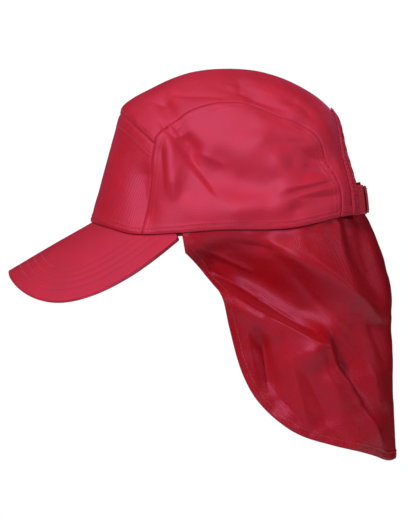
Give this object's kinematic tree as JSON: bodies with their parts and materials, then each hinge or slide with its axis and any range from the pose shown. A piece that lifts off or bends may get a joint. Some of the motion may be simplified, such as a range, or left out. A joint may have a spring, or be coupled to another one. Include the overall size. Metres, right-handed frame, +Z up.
{
  "type": "legionnaire cap with neck flap",
  "caption": "Soft legionnaire cap: panelled crown, curved peak, bound arch with a strap at the back, and a long neck flap.",
  "frame": {"origin": "middle of the head opening, level with the rim over the ears", "axes": "+Z up, -Y the way the peak points, +X the wearer's left"},
  "size_m": [0.1632, 0.2912, 0.2933],
  "materials": {
    "red_twill": "fine twill with a soft sheen",
    "band_cloth": "matt towelling cloth",
    "strap_tape": "ribbed woven tape"
  },
  "bodies": {
    "root": {"front_panel": "red_twill", "top_panel": "red_twill", "side_panel_left": "red_twill", "side_panel_right": "red_twill", "arch_binding": "red_twill", "peak": "red_twill", "sweatband": "band_cloth", "strap_under": "strap_tape", "strap_over": "strap_tape", "neck_flap": "red_twill"}
  },
  "joints": []
}
